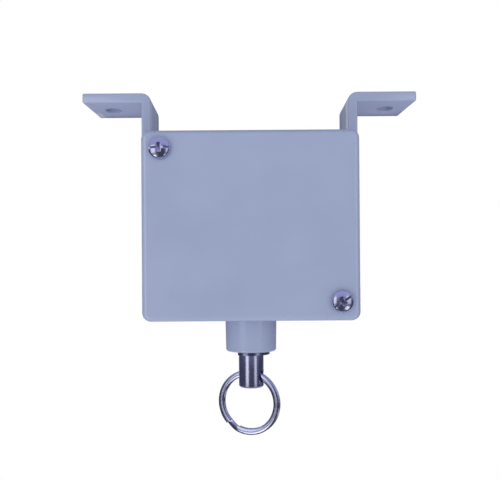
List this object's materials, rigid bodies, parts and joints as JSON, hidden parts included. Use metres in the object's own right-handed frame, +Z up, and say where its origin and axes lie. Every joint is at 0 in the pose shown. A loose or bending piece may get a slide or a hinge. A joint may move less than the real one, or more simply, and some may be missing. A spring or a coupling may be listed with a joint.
{
  "type": "rope pull switch",
  "caption": "Ceiling-mounted pull switch in a painted cast housing, with bent flange brackets, a sprung pull rod and a split ring for the rope.",
  "frame": {"origin": "on the axis of the pull rod, in the plane of the bracket flanges' upper faces, where the ceiling is", "axes": "+Z up towards the ceiling, -Y towards the front cover, +X to the right seen from the front"},
  "size_m": [0.136, 0.0524, 0.139],
  "materials": {
    "grey_paint": "satin",
    "bright_nickel": "polished",
    "zinc_plate": "satin",
    "spring_steel": "satin",
    "bronze": "satin",
    "brass": "satin",
    "black_rubber": "matte",
    "brown_phenolic": "matte",
    "white_nylon": "matte",
    "fish_paper": "matte"
  },
  "bodies": {
    "housing": {"housing_body": "grey_paint", "front_cover": "grey_paint", "cover_gasket": "black_rubber", "cover_screw_upper_left": "bright_nickel", "cover_screw_lower_right": "bright_nickel", "bracket_left": "grey_paint", "bracket_right": "grey_paint", "bracket_screw_left_upper": "zinc_plate", "bracket_screw_left_lower": "zinc_plate", "bracket_screw_right_upper": "zinc_plate", "bracket_screw_right_lower": "zinc_plate", "bracket_nut_left_upper": "zinc_plate", "bracket_nut_left_lower": "zinc_plate", "bracket_nut_right_upper": "zinc_plate", "bracket_nut_right_lower": "zinc_plate", "guide_bush": "bronze", "return_spring": "spring_steel", "switch_base": "brown_phenolic", "switch_lid": "brown_phenolic", "lever_pin": "zinc_plate", "terminal_common": "brass", "terminal_open": "brass", "terminal_closed": "brass", "switch_screw_lower": "zinc_plate", "switch_screw_upper": "zinc_plate", "insulating_sheet": "fish_paper", "earth_screw": "brass", "earth_clamp": "brass", "cable_grommet": "black_rubber"},
    "carriage": {"spring_cup": "zinc_plate", "actuator_plate": "zinc_plate"},
    "rod": {"pull_rod": "bright_nickel", "retaining_ring": "spring_steel", "rod_washer": "zinc_plate", "rod_nut": "zinc_plate"},
    "ring": {"split_ring": "bright_nickel"},
    "lever": {"switch_lever": "zinc_plate", "roller_pin": "zinc_plate"},
    "roller": {"lever_roller": "white_nylon"},
    "plunger": {"switch_plunger": "white_nylon"}
  },
  "joints": [
    {"name": "rod_pull", "type": "slide", "parent": "housing", "child": "carriage", "axis": [0, 0, -1], "range_m": [0, 0.006], "stiffness_N_per_m": 2500, "springref_m": -0.005, "deforming": ["return_spring"]},
    {"name": "rod_swivel", "type": "hinge", "parent": "carriage", "child": "rod", "pos_m": [0, 0, 0], "axis": [0, 0, 1], "continuous": true},
    {"name": "ring_swing", "type": "hinge", "parent": "rod", "child": "ring", "pos_m": [0, 0, -0.115], "axis": [0.9336, -0.3584, 0], "range_deg": [-135, 135]},
    {"name": "lever_tilt", "type": "hinge", "parent": "housing", "child": "lever", "pos_m": [-0.0338, 0, -0.0619], "axis": [0, 1, 0], "range_deg": [0, 17.25]},
    {"name": "roller_spin", "type": "hinge", "parent": "lever", "child": "roller", "pos_m": [-0.01473, 0, -0.0542], "axis": [0, 1, 0], "continuous": true},
    {"name": "plunger_press", "type": "slide", "parent": "housing", "child": "plunger", "axis": [0, 0, -1], "range_m": [0, 0.00155]}
  ],
  "couplings": [
    {"joint": "lever_tilt", "follows": "rod_pull", "rad_per_m": 50.155},
    {"joint": "plunger_press", "follows": "rod_pull", "ratio": 0.25783}
  ]
}
